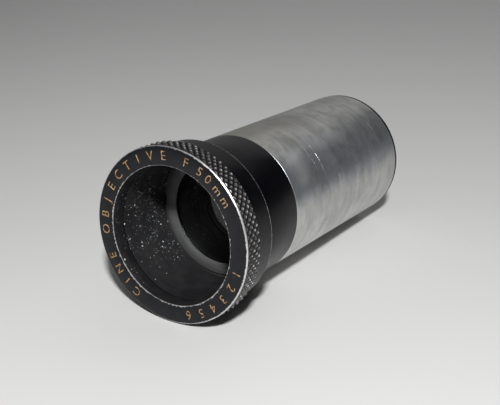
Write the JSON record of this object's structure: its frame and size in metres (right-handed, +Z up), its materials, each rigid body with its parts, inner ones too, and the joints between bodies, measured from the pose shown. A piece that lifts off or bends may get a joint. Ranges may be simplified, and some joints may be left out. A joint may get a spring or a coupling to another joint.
{
  "type": "projection lens",
  "caption": "Short push-fit projection objective: knurled black front head, black front tube, plain aluminium barrel, front doublet, stop and rear lens pair; head and front tube unscrew.",
  "frame": {"origin": "the floor under the middle of the lens's own outline, as it lies on the rear edge of the knurl and the rear edge of the barrel", "axes": "+Y runs towards the rear end of the barrel and the engraved front face looks to -Y; +Z is up; the optical axis drops 2.68 degrees towards the rear"},
  "size_m": [0.0384, 0.077, 0.0384],
  "materials": {
    "black_anodised": "satin black, worn bright on its edges",
    "black_enamel": "smooth satin black enamel",
    "matte_black": "matte black anti-glare paint",
    "aluminium": "drawn tube, dulled and lightly scratched",
    "brass": "turned, lightly tarnished",
    "glass": "polished optical glass"
  },
  "bodies": {
    "barrel": {"barrel_tube": "aluminium", "front_spacer_tube": "matte_black", "glare_ring": "matte_black", "middle_spacer_tube": "matte_black", "aperture_stop": "matte_black", "rear_spacer_tube": "matte_black", "rear_cell": "black_anodised", "rear_seat_ring": "brass", "rear_flint_lens": "glass", "rear_lens_spacer": "matte_black", "rear_crown_lens": "glass", "rear_retaining_ring": "black_anodised"},
    "front_optics": {"front_crown_lens": "glass", "front_flint_lens": "glass"},
    "front_unit": {"front_tube": "black_enamel", "front_lens_cell": "aluminium", "front_spacing_shim": "brass", "front_retaining_ring": "aluminium"},
    "head_shim": {"head_shim_ring": "brass"},
    "head": {"knurled_head": "black_anodised"}
  },
  "joints": [
    {"name": "front_unit_travel", "type": "slide", "parent": "barrel", "child": "front_optics", "axis": [0, -0.9989, 0.0468], "range_m": [0, 0.00469]},
    {"name": "front_unit_turn", "type": "hinge", "parent": "front_optics", "child": "front_unit", "pos_m": [0, -0.01311, 0.01821], "axis": [0, -0.9989, 0.0468], "range_deg": [0, 2250]},
    {"name": "head_travel", "type": "slide", "parent": "front_unit", "child": "head_shim", "axis": [0, -0.9989, 0.0468], "range_m": [0, 0.00394]},
    {"name": "head_turn", "type": "hinge", "parent": "head_shim", "child": "head", "pos_m": [0, -0.0267, 0.01885], "axis": [0, -0.9989, 0.0468], "range_deg": [0, 1890]}
  ],
  "couplings": [
    {"joint": "front_unit_travel", "follows": "front_unit_turn", "m_per_rad": 0.00011937},
    {"joint": "head_travel", "follows": "head_turn", "m_per_rad": 0.00011937}
  ]
}
